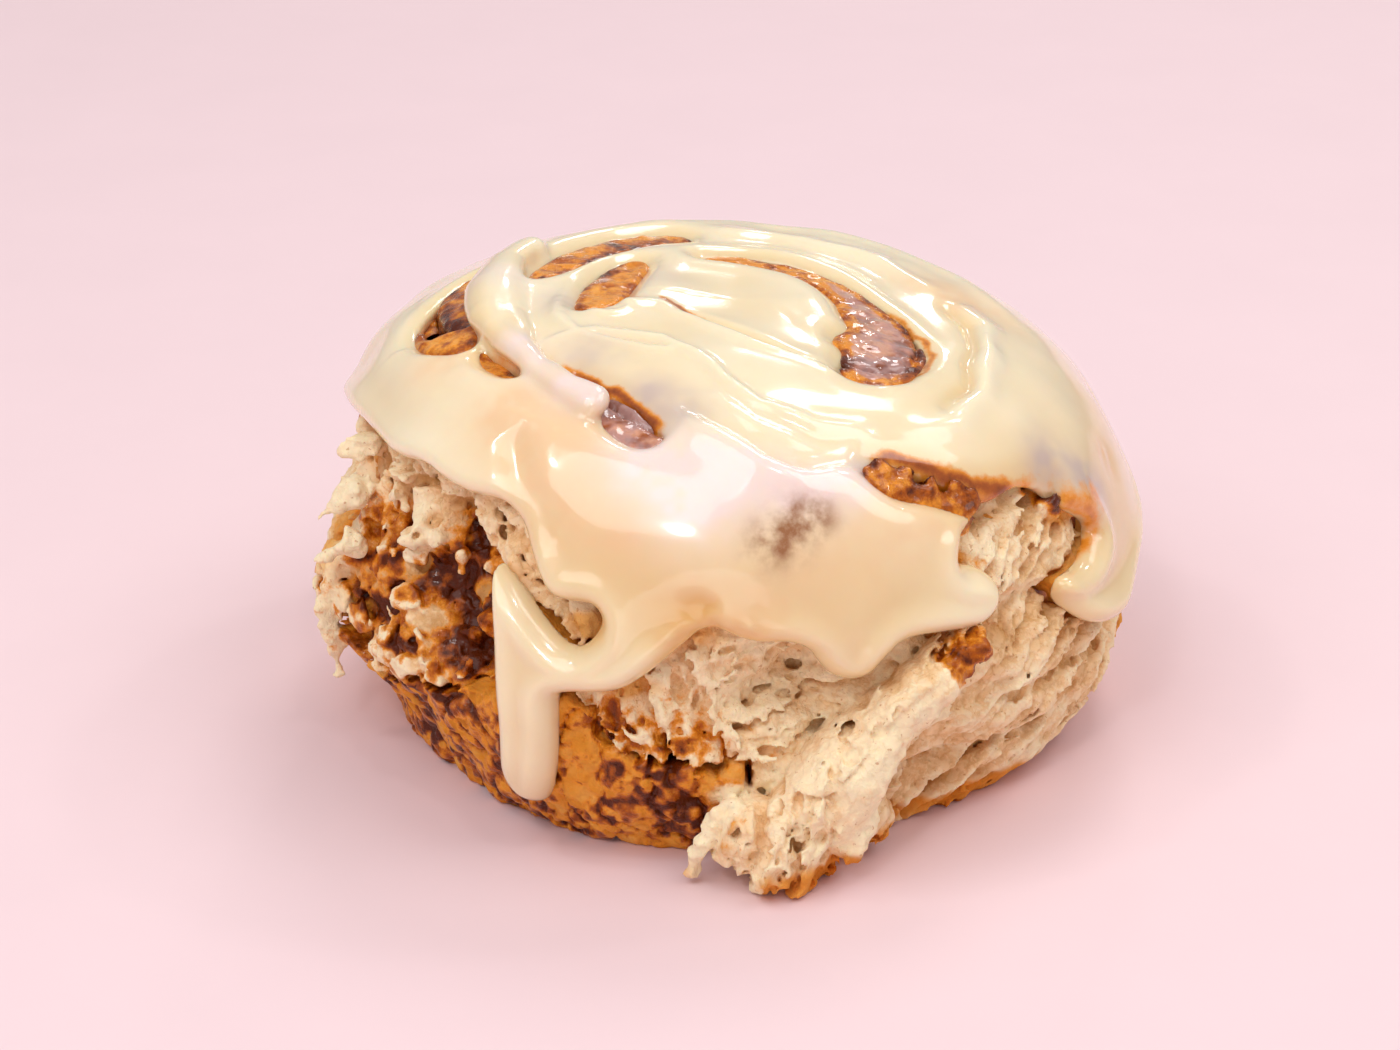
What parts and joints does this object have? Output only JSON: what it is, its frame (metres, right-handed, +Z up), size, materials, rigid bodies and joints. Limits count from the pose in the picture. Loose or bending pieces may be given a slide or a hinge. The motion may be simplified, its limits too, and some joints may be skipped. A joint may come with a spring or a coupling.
{
  "type": "cinnamon roll",
  "caption": "Soft coiled cinnamon roll with cream cheese icing that runs down the sides in drips, torn crumb where it was pulled from its neighbours, and a torn flap at the front.",
  "frame": {"origin": "middle of the footprint, on the table", "axes": "+Z up out of the top, -Y towards the torn flap, +X to the right seen from the flap"},
  "size_m": [0.0945, 0.0959, 0.0504],
  "materials": {
    "crumb": "dry, soft and porous",
    "cinnamon": "sticky, half glossy",
    "icing": "wet gloss, slightly translucent"
  },
  "bodies": {
    "root": {"dough": "crumb", "cinnamon_filling": "cinnamon", "icing": "icing"}
  },
  "joints": []
}
